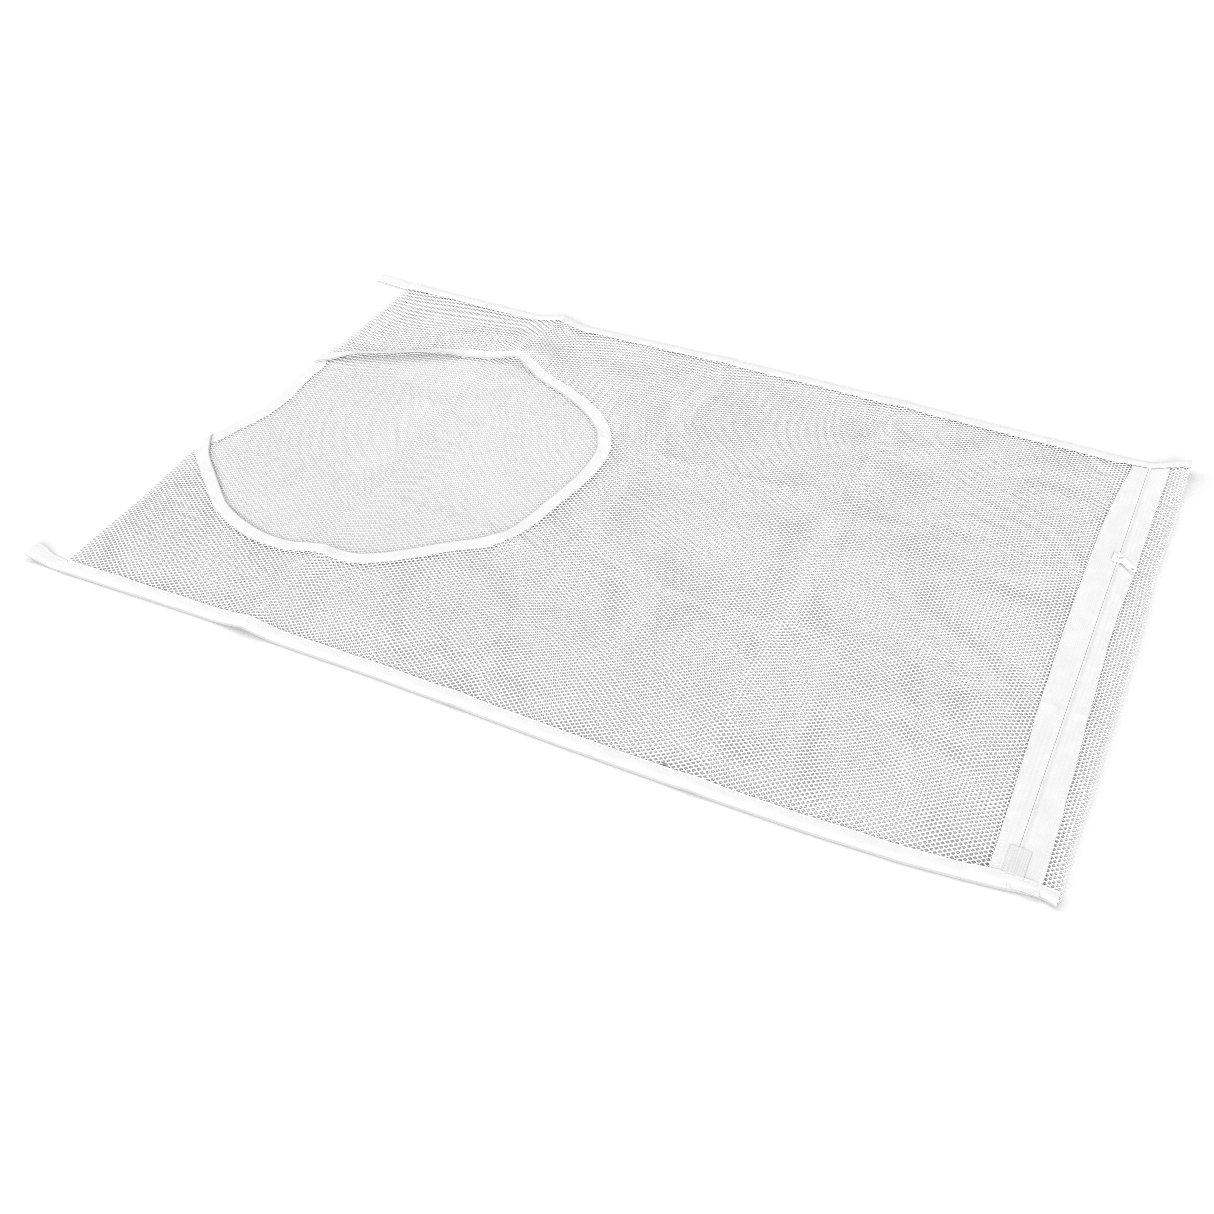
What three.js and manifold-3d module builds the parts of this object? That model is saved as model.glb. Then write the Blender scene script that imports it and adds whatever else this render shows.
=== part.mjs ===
// Flat net bag with a bound round opening at one end and a zipper across the other.
// Units are millimetres, +Z up. The bag lies flat on its back net.
// Local plan: x = 0 is the folded end with the opening, x = BAG_LENGTH the folded end by the zipper,
// y = 0 is the outer edge of the near binding, y = BAG_WIDTH the outer edge of the far one.
import * as THREE from 'three';
import { mergeVertices } from 'three/addons/utils/BufferGeometryUtils.js';
import Module from 'manifold-3d';

const wasm = await Module();
wasm.setup();

// ---------------------------------------------------------------- driving dimensions
const BAG_LENGTH = 800;          // between the two end folds
const BAG_WIDTH = 550;           // over the two side bindings
const BINDING_WIDTH = 13.5;      // folded side tape
const NEAR_TAIL = 38;            // free tape past the left fold, near side
const FAR_TAIL = 36;             // free tape past the left fold, far side
const TAIL_WIDTH = 17;           // the tape opens a little where it is free
const RING_WIDTH = 12.5;         // folded tape round the opening
const ZIP_X = 770;               // centre line of the zipper
const TAPE_WIDTH = 16.2;         // one zipper tape
const CHAIN_GAP = 1.6;           // between the two tapes and coils, where the slider's post runs
const COIL_WIDTH = 2.6;
const LAP = 6;                   // net under the zipper tape
const SLIDER_Y = 390;            // where the slider is parked
const PULL_ANGLE = -42;          // direction in which the pull tab lies, degrees from +X
const PULL_LENGTH = 21.5;        // hinge axis to the tip
const PULL_WIDTH = 7.2;
const PATCH = { x: ZIP_X + 1.2, width: 15, y0: 17, y1: 44 };

// heights of the layers
const Z = {
  legLow: [0, 0.4],              // lower leg of the side bindings
  back: [0, 1.2],                // back net, lying on the surface
  backEdge: 0.7,                 // its underside inside the bindings
  ring: [1.8, 3.9],
  ringGroove: [2.3, 3.4],
  front: [2.6, 3.1],
  legHigh: [3.4, 3.9],
  coil: [2.4, 3.1],
  tape: [3.4, 3.9],
  thread: [4.2, 4.5],
  patch: [4.2, 4.9],
  patchThread: [5.2, 5.5],
  plateLow: [1.5, 2.1],
  flangeTop: 3.1,
  plateHigh: [4.2, 5.2],
  pullAxis: 6.2,
  crown: [7.3, 8.4],
};
const GAP = 0.3;

// centre line of the opening's tape: front part from the near fold point round to the far one,
// then the part bound on the back net between the two fold points
const OPENING_LINE = [
  [-4.8, 196], [4.9, 182.9], [17.1, 171], [29.2, 160], [40.9, 149.1], [53, 138.1], [64.2, 128.8],
  [77.8, 120.8], [91.9, 114.6], [106, 110], [120.1, 107], [134.6, 106], [149.7, 107.2], [163.8, 110.2],
  [177.5, 112], [191.6, 113], [205.3, 116], [218, 122], [230.2, 130], [241, 139.2], [251.7, 148.8],
  [262, 158.1], [272.6, 167.4], [284.6, 176.2], [296, 186], [304.3, 198.6], [309.1, 213.2], [312.5, 228.3],
  [314.9, 242.8], [317, 257.9], [319.6, 272.6], [322, 287.6], [323.8, 303.2], [324.2, 318.8], [323.4, 334.9],
  [320.6, 350.6], [314.4, 365.2], [306.4, 378.8], [296.7, 390.4], [285.2, 400.6], [273.2, 409.4],
  [260.7, 416.8], [249, 423.4], [236.4, 428.9], [224, 434.1], [212.4, 440.2], [200.2, 447.6], [188.3, 454.6],
  [175.5, 457.6], [160.4, 453.4], [147.2, 449.4], [134.5, 446], [121.4, 441.4], [106.8, 434.6],
  [88.9, 424.6], [62, 409.4], [44.2, 399.4], [28.5, 391], [13.5, 381.5],
  [7.6, 364], [7.8, 343], [10.2, 318], [12, 297], [11, 276], [8, 256], [1.5, 236], [-4, 215],
];

// ---------------------------------------------------------------- helpers
function solid(geometry) {
  const g = geometry.index || geometry.attributes.normal ? geometry.clone() : geometry;
  g.deleteAttribute('normal');
  g.deleteAttribute('uv');
  const m = mergeVertices(g, 1e-4);
  return new wasm.Manifold(new wasm.Mesh({
    numProp: 3,
    vertProperties: new Float32Array(m.attributes.position.array),
    triVerts: new Uint32Array(m.index.array),
  }));
}

function geometryOf(manifold) {
  const mesh = manifold.getMesh();
  const g = new THREE.BufferGeometry();
  g.setAttribute('position', new THREE.BufferAttribute(new Float32Array(mesh.vertProperties), 3));
  g.setIndex(new THREE.BufferAttribute(new Uint32Array(mesh.triVerts), 1));
  g.computeVertexNormals();
  return g;
}

function box(x0, x1, y0, y1, z0, z1) {
  const g = new THREE.BoxGeometry(x1 - x0, y1 - y0, z1 - z0);
  g.translate((x0 + x1) / 2, (y0 + y1) / 2, (z0 + z1) / 2);
  return g;
}

function plate(points, z0, z1, holes = []) {
  const s = new THREE.Shape(points.map((p) => new THREE.Vector2(p[0], p[1])));
  for (const h of holes) s.holes.push(new THREE.Path(h.map((p) => new THREE.Vector2(p[0], p[1]))));
  const g = new THREE.ExtrudeGeometry(s, { depth: z1 - z0, bevelEnabled: false, steps: 1 });
  g.translate(0, 0, z0);
  return g;
}

// a closed line moved sideways by d, positive away from the inside of the opening
function offsetLoop(points, d) {
  const n = points.length;
  return points.map((p, i) => {
    const a = points[(i + n - 1) % n];
    const b = points[(i + 1) % n];
    const tx = b[0] - a[0];
    const ty = b[1] - a[1];
    const l = Math.hypot(tx, ty);
    return [p[0] + (ty / l) * d, p[1] - (tx / l) * d];
  });
}

function smoothLoop(points, count) {
  const curve = new THREE.CatmullRomCurve3(points.map((p) => new THREE.Vector3(p[0], p[1], 0)), true, 'centripetal');
  return curve.getSpacedPoints(count).slice(0, count).map((v) => [v.x, v.y]);
}

const material = (color, roughness, metalness = 0) => new THREE.MeshStandardMaterial({ color, roughness, metalness });
const bag = new THREE.Group();
function add(name, geometry, mat, parent = bag) {
  const mesh = new THREE.Mesh(geometry, mat);
  mesh.name = name;
  parent.add(mesh);
  return mesh;
}

// ---------------------------------------------------------------- opening outlines
const line = smoothLoop(OPENING_LINE, 72);
const innerEdge = offsetLoop(line, -RING_WIDTH / 2);
const outerEdge = offsetLoop(line, RING_WIDTH / 2);
const webEdge = offsetLoop(line, -RING_WIDTH / 2 + 1.0);
const netEdge = offsetLoop(line, -RING_WIDTH / 2 + 1.0 + GAP);
const BACK_ARC = { x: 22, y0: 193, y1: 385 };   // the stretch of tape that lies on the back net

// ---------------------------------------------------------------- net panels
const net = () => material(0xf4f5f6, 0.75);
const frontEnd = ZIP_X - CHAIN_GAP / 2 - TAPE_WIDTH + LAP;
{
  const slab = solid(box(2.5, frontEnd, 1.3, BAG_WIDTH - 1.3, Z.front[0], Z.front[1]));
  const hole = solid(plate(netEdge, Z.front[0] - 1, Z.front[1] + 1));
  const backArc = solid(box(-30, BACK_ARC.x + GAP, BACK_ARC.y0 - GAP, BACK_ARC.y1 + GAP, Z.front[0] - 1, Z.front[1] + 1));
  add('front_net_panel', geometryOf(slab.subtract(hole).subtract(backArc)), net());
}
{
  const slab = solid(box(0, BAG_LENGTH, 1.3, BAG_WIDTH - 1.3, Z.back[0], Z.back[1]));
  const nearStep = solid(box(-1, BAG_LENGTH + 1, -5, BINDING_WIDTH + GAP, -1, Z.backEdge));
  const farStep = solid(box(-1, BAG_LENGTH + 1, BAG_WIDTH - BINDING_WIDTH - GAP, BAG_WIDTH + 5, -1, Z.backEdge));
  add('back_net_panel', geometryOf(slab.subtract(nearStep).subtract(farStep)), net());
}
add('zip_end_net_strip',
  box(ZIP_X + CHAIN_GAP / 2 + TAPE_WIDTH - LAP, BAG_LENGTH - 0.5, 1.3, BAG_WIDTH - 1.3, Z.front[0], Z.front[1]), net());

// ---------------------------------------------------------------- side bindings with their tails
function sideBinding(name, near) {
  const outer = near ? 0 : BAG_WIDTH;
  const dir = near ? 1 : -1;
  const ys = (a, b) => [outer + dir * a, outer + dir * b].sort((p, q) => p - q);
  const strip = (x0, x1, a, b, z0, z1) => {
    const [y0, y1] = ys(a, b);
    return solid(box(x0, x1, y0, y1, z0, z1));
  };
  const tail = near ? NEAR_TAIL : FAR_TAIL;
  const body = strip(-2, BAG_LENGTH, 0, BINDING_WIDTH, Z.legLow[0], Z.legHigh[1]);
  const channel = strip(-0.5, BAG_LENGTH + 5, 1.0, BINDING_WIDTH + 2, Z.legLow[1], Z.legHigh[0]);
  const end = strip(-tail, -1, 0, TAIL_WIDTH, 0, 1.6);
  add(name, geometryOf(body.subtract(channel).add(end)), material(0xf7f7f7, 0.65));
}
sideBinding('near_side_binding', true);
sideBinding('far_side_binding', false);

// ---------------------------------------------------------------- binding of the opening
{
  const ring = solid(plate(outerEdge, Z.ring[0], Z.ring[1])).subtract(solid(plate(innerEdge, Z.ring[0] - 1, Z.ring[1] + 1)));
  const around = solid(box(2.2, 400, 50, 520, Z.ringGroove[0], Z.ringGroove[1]));
  const keepWeb = solid(plate(webEdge, Z.ringGroove[0] - 1, Z.ringGroove[1] + 1));
  const keepArc = solid(box(-30, BACK_ARC.x, BACK_ARC.y0, BACK_ARC.y1, Z.ringGroove[0] - 1, Z.ringGroove[1] + 1));
  const groove = around.subtract(keepWeb).subtract(keepArc);
  add('opening_binding', geometryOf(ring.subtract(groove)), material(0xf8f8f8, 0.62));
}

// ---------------------------------------------------------------- zipper chain
const chainY = [BINDING_WIDTH + GAP, BAG_WIDTH - BINDING_WIDTH - GAP];
const half = CHAIN_GAP / 2;
add('zipper_tape_inner', box(ZIP_X - half - TAPE_WIDTH, ZIP_X - half, chainY[0], chainY[1], Z.tape[0], Z.tape[1]), material(0xfafafa, 0.6));
add('zipper_tape_outer', box(ZIP_X + half, ZIP_X + half + TAPE_WIDTH, chainY[0], chainY[1], Z.tape[0], Z.tape[1]), material(0xfafafa, 0.6));
add('zipper_coil_inner', box(ZIP_X - half - COIL_WIDTH, ZIP_X - half, chainY[0], chainY[1], Z.coil[0], Z.coil[1]), material(0xffffff, 0.35));
add('zipper_coil_outer', box(ZIP_X + half, ZIP_X + half + COIL_WIDTH, chainY[0], chainY[1], Z.coil[0], Z.coil[1]), material(0xffffff, 0.35));

// woven patch over the closed end of the chain
add('zip_end_patch', box(PATCH.x - PATCH.width / 2, PATCH.x + PATCH.width / 2, PATCH.y0, PATCH.y1, Z.patch[0], Z.patch[1]), material(0xdedede, 0.85));

// ---------------------------------------------------------------- slider body: plates, post, flanges and crown in one casting
const slider = new THREE.Group();
slider.position.set(ZIP_X, SLIDER_Y, 0);
bag.add(slider);
{
  // both plates widen towards the mouth, which faces the near (open) side
  const outline = [
    [-3.2, 5.4], [-2.2, 5.8], [2.2, 5.8], [3.2, 5.4], [3.9, 4.2], [4.5, 1.2], [4.7, -2.6], [4.7, -4.8],
    [4.2, -5.5], [2.6, -5.8], [-2.6, -5.8], [-4.2, -5.5], [-4.7, -4.8], [-4.7, -2.6], [-4.5, 1.2], [-3.9, 4.2],
  ].reverse();
  const upper = solid(plate(outline, Z.plateHigh[0], Z.plateHigh[1]));
  const lower = solid(plate(outline, Z.plateLow[0], Z.plateLow[1]));
  const post = solid(plate([[0, -5.2], [0.5, -4.2], [0.5, -2.2], [0, -1.4], [-0.5, -2.2], [-0.5, -4.2]], Z.plateLow[1] - 0.3, Z.plateHigh[0] + 0.3));
  const rail = (s) => solid(box(s > 0 ? 3.7 : -4.5, s > 0 ? 4.5 : -3.7, -4.9, 1.2, Z.plateLow[1] - 0.2, Z.flangeTop));
  // crown: two posts and a bridge along the chain
  const leg = (y) => {
    const g = new THREE.CylinderGeometry(0.55, 0.65, Z.crown[1] - Z.plateHigh[1], 16);
    g.rotateX(Math.PI / 2);
    g.translate(0, y, (Z.crown[1] + Z.plateHigh[1] - 0.6) / 2);
    return solid(g);
  };
  const bridge = solid(plate([[-0.55, -2.95], [0.55, -2.95], [0.55, 2.95], [-0.55, 2.95]], Z.crown[0], Z.crown[1]));
  let body = upper.add(lower).add(post).add(rail(1)).add(rail(-1));
  body = body.add(leg(2.4)).add(leg(-2.4)).add(bridge);
  add('slider_body', geometryOf(body), material(0xf2f2f0, 0.35, 0.1), slider);
}

// pull tab: flat eye round the crown, body, and a small hole by the tip
{
  const w = PULL_WIDTH / 2;
  const outline = [[-0.55, -w], [4.6, -w], [6.2, -w + 0.25], [15.0, -w + 0.45], [17.6, -w + 0.55]];
  const tip = [];
  const r = w - 0.55;
  for (let i = 1; i <= 11; i += 1) {
    const a = -Math.PI / 2 + (Math.PI * i) / 12;
    tip.push([PULL_LENGTH - r + r * Math.cos(a), r * Math.sin(a)]);
  }
  const upperSide = [[17.6, w - 0.55], [15.0, w - 0.45], [6.2, w - 0.25], [4.6, w], [-0.55, w]];
  const eye = [[0.55, -2.7], [0.55, 2.7], [3.3, 2.7], [3.7, 2.2], [3.7, -2.2], [3.3, -2.7]];
  const hole = [];
  for (let i = 0; i < 20; i += 1) {
    const a = (-2 * Math.PI * i) / 20;
    hole.push([PULL_LENGTH - 3.4 + 1.75 * Math.cos(a), 1.75 * Math.sin(a)]);
  }
  const g = plate([...outline, ...tip, ...upperSide], -0.55, 0.55, [eye, hole]);
  const tab = add('slider_pull_tab', g, material(0xf6f6f4, 0.4, 0.05), slider);
  tab.position.set(0, 0, Z.pullAxis);
  tab.rotation.z = THREE.MathUtils.degToRad(PULL_ANGLE);
}

// ---------------------------------------------------------------- seam threads
const thread = () => material(0xffffff, 0.5);
const t = 0.8;
const bindingSeam = (name, y) => add(name, box(1, BAG_LENGTH - 2, y - t / 2, y + t / 2, Z.thread[0], Z.thread[1]), thread());
bindingSeam('near_binding_thread', BINDING_WIDTH - 1.8);
bindingSeam('far_binding_thread', BAG_WIDTH - BINDING_WIDTH + 1.8);
{
  const a = offsetLoop(line, RING_WIDTH / 2 - 2.2);
  const b = offsetLoop(line, RING_WIDTH / 2 - 1.4);
  const loop = solid(plate(b, Z.thread[0], Z.thread[1])).subtract(solid(plate(a, Z.thread[0] - 1, Z.thread[1] + 1)));
  add('opening_binding_thread', geometryOf(loop), thread());
}
const tapeSeam = (name, x) => add(name, box(x - t / 2, x + t / 2, chainY[0] + 1, chainY[1] - 1, Z.thread[0], Z.thread[1]), thread());
tapeSeam('zipper_inner_tape_thread', ZIP_X - half - TAPE_WIDTH + 2.5);
tapeSeam('zipper_outer_tape_thread', ZIP_X + half + TAPE_WIDTH - 2.5);
{
  // runs down both sides and across the near end of the patch
  const x = PATCH.width / 2 - 1.2;
  const u = [[-x, PATCH.y1 - 1], [-x, PATCH.y0 + 1.2], [x, PATCH.y0 + 1.2], [x, PATCH.y1 - 1],
    [x - t, PATCH.y1 - 1], [x - t, PATCH.y0 + 1.2 + t], [-x + t, PATCH.y0 + 1.2 + t], [-x + t, PATCH.y1 - 1]]
    .map(([px, py]) => [PATCH.x + px, py]);
  add('end_patch_thread', plate(u, Z.patchThread[0], Z.patchThread[1]), thread());
}

// origin: under the middle of the whole piece, on the surface it lies on
bag.position.set(-(BAG_LENGTH - NEAR_TAIL) / 2, -BAG_WIDTH / 2, 0);
const part = new THREE.Group();
part.name = 'net_bag';
part.add(bag);

export default part;
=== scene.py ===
import math
import bpy
import numpy as np
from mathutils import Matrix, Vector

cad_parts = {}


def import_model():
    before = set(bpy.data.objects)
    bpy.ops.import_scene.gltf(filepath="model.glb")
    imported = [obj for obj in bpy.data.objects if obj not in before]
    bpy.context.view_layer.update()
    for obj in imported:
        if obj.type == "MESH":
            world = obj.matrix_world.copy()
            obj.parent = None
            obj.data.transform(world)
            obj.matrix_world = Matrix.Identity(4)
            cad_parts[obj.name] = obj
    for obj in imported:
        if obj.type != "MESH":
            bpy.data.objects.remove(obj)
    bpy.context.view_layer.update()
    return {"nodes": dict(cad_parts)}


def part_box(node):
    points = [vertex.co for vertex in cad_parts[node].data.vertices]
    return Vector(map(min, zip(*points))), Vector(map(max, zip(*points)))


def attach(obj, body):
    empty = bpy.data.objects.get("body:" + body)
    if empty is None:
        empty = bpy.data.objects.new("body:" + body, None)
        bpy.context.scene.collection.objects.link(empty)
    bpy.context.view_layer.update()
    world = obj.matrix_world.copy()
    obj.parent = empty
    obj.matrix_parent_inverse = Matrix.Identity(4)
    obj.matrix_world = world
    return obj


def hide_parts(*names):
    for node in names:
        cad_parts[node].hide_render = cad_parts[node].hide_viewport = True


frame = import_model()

scene = bpy.context.scene

# --------------------------------------------------------------------------------------------------------------
# Plan coordinates, in millimetres: x runs from the left fold (0) to the zipper fold (800), y from the near side
# (0) to the far side (550).  The row frame is (x - OX, y - OY, z) / 1000.
# --------------------------------------------------------------------------------------------------------------
low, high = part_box("back_net_panel")
LENGTH = round((high.x - low.x) * 1000, 3)                  # 800
OX = -low.x * 1000                                          # the back net starts at x = 0
WIDTH = 550.0
OY = WIDTH / 2
ZIP_X = 770.0
chain_low, chain_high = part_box("zipper_coil_inner")
HALF_GAP = ZIP_X - (chain_high.x * 1000 + OX)               # 0.8, clear of the slider's post
BINDING = 13.5
TAPE_T = 0.45

# ------------------------------------------------------------------------------------------------------ camera
cam_data = bpy.data.cameras.new("camera")
cam_data.sensor_fit = "HORIZONTAL"
cam_data.sensor_width = 36.0
cam_data.lens = 44.571
cam_data.clip_start = 0.01
cam_data.clip_end = 50.0
cam = bpy.data.objects.new("camera", cam_data)
scene.collection.objects.link(cam)
right = (0.90448, 0.42637, 0.01101)
up = (-0.28039, 0.57497, 0.76863)
back = (0.32139, -0.69830, 0.63960)
from mathutils import Matrix
cam.matrix_world = Matrix((
    (right[0], up[0], back[0], 0.41721),
    (right[1], up[1], back[1], -0.95124),
    (right[2], up[2], back[2], 0.76007),
    (0, 0, 0, 1)))
scene.camera = cam


# ----------------------------------------------------------------------------------------------------- helpers
def smooth(t):
    t = np.clip(t, 0.0, 1.0)
    return t * t * (3 - 2 * t)


def tent(d, w, p=1.4):
    """A fold's cross-section: 1 on the crease, 0 from w away."""
    return np.clip(1 - np.sqrt(d * d + 0.6) / w, 0, 1) ** p


def profile(points, blur=4.0, lo=-80, hi=900):
    """A smooth function of one coordinate through a few known values."""
    xs = np.arange(lo, hi + 0.5, 1.0)
    v = np.interp(xs, [p[0] for p in points], [p[1] for p in points])
    r = int(4 * blur) + 1
    k = np.exp(-0.5 * (np.arange(-r, r + 1) / blur) ** 2)
    v = np.convolve(np.pad(v, r, mode="edge"), k / k.sum(), mode="valid")
    return lambda x: np.interp(x, xs, v)


def waves(seed, n, shortest, longest):
    """Smooth irregular waves, about -1 to 1, the same each run."""
    rng = np.random.default_rng(seed)
    a = rng.uniform(0, 2 * np.pi, n)
    k = 2 * np.pi / rng.uniform(shortest, longest, n)
    ph = rng.uniform(0, 2 * np.pi, n)
    am = rng.uniform(0.6, 1.0, n)
    am = am / np.sqrt((am ** 2).sum()) * 1.1

    def f(x, y):
        out = np.zeros(np.broadcast(x, y).shape)
        for i in range(n):
            out += am[i] * np.sin(k[i] * (x * np.cos(a[i]) + y * np.sin(a[i])) + ph[i])
        return out
    return f


GX0, GY0, GS = -80.0, -60.0, 2.0
gx = np.arange(GX0, 880.0 + 1, GS)
gy = np.arange(GY0, 620.0 + 1, GS)
GX, GY = np.meshgrid(gx, gy, indexing="ij")


def sampled(values):
    def f(x, y):
        u = np.clip((x - GX0) / GS, 0, len(gx) - 1.001)
        v = np.clip((y - GY0) / GS, 0, len(gy) - 1.001)
        i, j = u.astype(int), v.astype(int)
        fu, fv = u - i, v - j
        return (values[i, j] * (1 - fu) * (1 - fv) + values[i + 1, j] * fu * (1 - fv)
                + values[i, j + 1] * (1 - fu) * fv + values[i + 1, j + 1] * fu * fv)
    return f


def world(co):
    out = np.empty_like(co, dtype=np.float64)
    out[:, 0] = (co[:, 0] - OX) / 1000
    out[:, 1] = (co[:, 1] - OY) / 1000
    out[:, 2] = co[:, 2] / 1000
    return out


def mesh_object(name, co, faces, maps=(), angle=None, material=None):
    """co in plan millimetres, faces a list of (n, k) index arrays, maps a list of (name, per-vertex or per-corner uv)."""
    co = np.array(co, float)
    co[:, 2] = np.maximum(co[:, 2], 0.03)
    me = bpy.data.meshes.new(name)
    me.vertices.add(len(co))
    me.vertices.foreach_set("co", world(np.asarray(co, float)).astype(np.float32).ravel())
    corners = np.concatenate([f.ravel() for f in faces]).astype(np.int32)
    sizes = np.concatenate([np.full(len(f), f.shape[1], np.int32) for f in faces])
    starts = np.concatenate([[0], np.cumsum(sizes)[:-1]]).astype(np.int32)
    me.loops.add(len(corners))
    me.loops.foreach_set("vertex_index", corners)
    me.polygons.add(len(sizes))
    me.polygons.foreach_set("loop_start", starts)
    me.update(calc_edges=True)
    for map_name, uv in maps:
        layer = me.uv_layers.new(name=map_name)
        uv = np.asarray(uv, float)
        data = uv[corners] if len(uv) == len(co) else uv
        layer.data.foreach_set("uv", data.astype(np.float32).ravel())
    me.validate()
    me.polygons.foreach_set("use_smooth", np.ones(len(me.polygons), bool))
    if angle is not None:
        me.set_sharp_from_angle(angle=math.radians(angle))
    me.update()
    ob = bpy.data.objects.new(name, me)
    scene.collection.objects.link(ob)
    if material is not None:
        me.materials.append(material)
    return ob


def inside(poly, x, y):
    poly = np.asarray(poly, float)
    hit = np.zeros(x.shape, bool)
    xa, ya = poly[:, 0], poly[:, 1]
    xb, yb = np.roll(xa, -1), np.roll(ya, -1)
    for i in range(len(poly)):
        if ya[i] == yb[i]:
            continue
        c = ((ya[i] > y) != (yb[i] > y)) & (x < (xb[i] - xa[i]) * (y - ya[i]) / (yb[i] - ya[i]) + xa[i])
        hit ^= c
    return hit


# ------------------------------------------------------------------------------------------ the outline as it lies
# how far the folded end wanders from the straight line x = 0
fold_x = profile([(-60, -2), (22, -3.4), (116, -5.4), (158, -8.4), (178, -10.2), (200, -10.6), (214, -9.7),
                  (250, -7.0), (290, -4.0), (330, -1.0), (365, 1.6), (386, 3.2), (405, 5.0), (430, 5.2), (470, 4.6),
                  (620, 4.8)], 5)
near_y = profile([(-80, 1.2), (-38, 1.2), (0, -0.8), (50, 0.2), (90, 1.2), (140, 2.0), (176, 1.8), (230, 1.4),
                  (290, 1.5), (357, 0.1), (450, -2.4), (543, -3.6), (640, -3.4), (703, -1.0), (740, 2.6), (764, 5.4),
                  (780, 8.2), (792, 9.4), (799, 7.4), (806, 4.2), (880, 4.2)], 3)
far_y = profile([(-80, 552.6), (-35, 552.4), (-9, 550.2), (22, 547.8), (51, 546.5), (102, 545.8), (138, 545.2),
                 (155, 545.4), (171, 546.6), (185, 547.6), (204, 546.6), (240, 548.0), (353, 550.7), (454, 551.4),
                 (556, 550.5), (660, 549.0), (702, 548.6), (742, 547.6), (763, 548.4), (780, 551.6), (796, 556.0),
                 (804, 557.2), (880, 557.2)], 5)
tape_left = profile([(-60, 755.6), (38, 755.4), (60, 754.8), (104, 753.8), (148, 752.8), (192, 750.6), (236, 749.6),
                     (302, 749.0), (346, 748.6), (434, 748.9), (456, 750.6), (500, 753.2), (522, 755.4), (620, 756.6)], 7)
tape_right = profile([(-60, 791.0), (38, 790.7), (60, 789.9), (104, 789.0), (148, 788.0), (192, 785.8), (236, 785.0),
                      (280, 784.0), (324, 783.8), (368, 785.6), (412, 786.4), (500, 786.6), (522, 787.4), (620, 787.8)], 7)
right_x = profile([(-60, 3.6), (0, 3.4), (38, 1.9), (82, 2.0), (126, 3.1), (170, 2.4), (214, 3.5), (258, 3.2), (324, 2.6),
                   (370, 0.6), (390, 0.3), (420, 1.6), (478, 2.6), (510, 2.2), (545, 1.6), (620, 1.6)], 8)

# the centre line of the tape round the opening, as it lies
OPENING = [
    (-4.8, 196), (4.9, 182.9), (17.1, 171), (29.2, 160), (40.9, 149.1), (53, 138.1), (64.2, 128.8),
    (77.8, 120.8), (91.9, 114.6), (106, 110), (120.1, 107), (134.6, 106), (149.7, 107.2), (163.8, 110.2),
    (177.5, 112), (191.6, 113), (205.3, 116), (218, 122), (230.2, 130), (241, 139.2), (251.7, 148.8),
    (262, 158.1), (272.6, 167.4), (284.6, 176.2), (296, 186), (304.3, 198.6), (309.1, 213.2), (312.5, 228.3),
    (314.9, 242.8), (317, 257.9), (319.6, 272.6), (322, 287.6), (323.8, 303.2), (324.2, 318.8), (323.4, 334.9),
    (320.6, 350.6), (314.4, 365.2), (306.4, 378.8), (296.7, 390.4), (285.2, 400.6), (273.2, 409.4),
    (260.7, 416.8), (249, 423.4), (236.4, 428.9), (224, 434.1), (212.4, 440.2), (200.2, 447.6), (188.3, 454.6),
    (175.5, 457.6), (160.4, 453.4), (147.2, 449.4), (134.5, 446), (121.4, 441.4), (106.8, 434.6),
    (88.9, 424.6), (62, 409.4), (44.2, 399.4), (28.5, 391), (13.5, 381.5),
]
BACK_ARC = [(7.6, 364), (7.8, 343), (10.2, 318), (12, 297), (11, 276), (8, 256), (1.5, 236), (-4, 215)]

front_cut = OPENING + [(-60, 386), (-60, 193)]
back_cut = [(-60, 190), (-8, 196)] + [(x, y) for x, y in reversed(BACK_ARC)] + [(11, 382), (-60, 388)]

# distance to the ring, for how the front net settles onto it
ring_points = np.array(OPENING + BACK_ARC, float)
dense = []
for a, b in zip(ring_points, np.roll(ring_points, -1, 0)):
    for s in np.linspace(0, 1, 4, endpoint=False):
        dense.append(a + (b - a) * s)
dense = np.array(dense)
ring_d = np.full(GX.shape, 1e9)
for p in dense:
    ring_d = np.minimum(ring_d, (GX - p[0]) ** 2 + (GY - p[1]) ** 2)
ring_d = np.sqrt(ring_d)

# ------------------------------------------------------------------------------------------------- heights
crease_x = profile([(-60, 176), (0, 176), (112, 177), (290, 176), (458, 176), (550, 185), (620, 186)], 12)
crease_h = profile([(-60, 4.2), (0, 4.2), (60, 3.4), (112, 4.0), (290, 3.2), (458, 5.0), (520, 5.6), (620, 6.6)], 10)
wander = waves(5, 5, 160, 500)
x2 = 361 + 3 * wander(GY, GY * 0 + 40)
x3 = 545 + 4 * wander(GY * 0.8, GY * 0 + 400)
y1 = 192 + 4 * wander(GX * 0.9, GX * 0 + 90)
y2 = 363 + 4 * wander(GX * 0.7, GX * 0 + 260)
near_flat = smooth((742 - GX) / 60)          # the zipper end lies flat
T1 = tent(GX - crease_x(GY), 31)
T2 = tent(GX - x2, 20)
T3 = tent(GX - x3, 22)
T4 = tent(GY - y1, 17)
T5 = tent(GY - y2, 17)
in_y = smooth(GY / 60) * smooth((550 - GY) / 60)
base = crease_h(GY) * T1
base = np.maximum(base, (1.0 + 1.4 * in_y) * T2)
base = np.maximum(base, (1.1 + 2.0 * in_y) * T3)
base = np.maximum(base, 1.9 * T4 * near_flat * smooth((GX + 10) / 60))
base = np.maximum(base, 1.6 * T5 * near_flat * smooth((GX + 10) / 60))
corner_far = 6.8 * np.clip((GX - 773.5) / 24, 0, 1.05) * smooth((GY - 492) / 52)
corner_near = 0.6 * smooth((GX - 757) / 38) * smooth((44 - GY) / 44)
tail = 3.2 * smooth((-8 - GX) / 30) * smooth((60 - GY) / 40)
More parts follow.
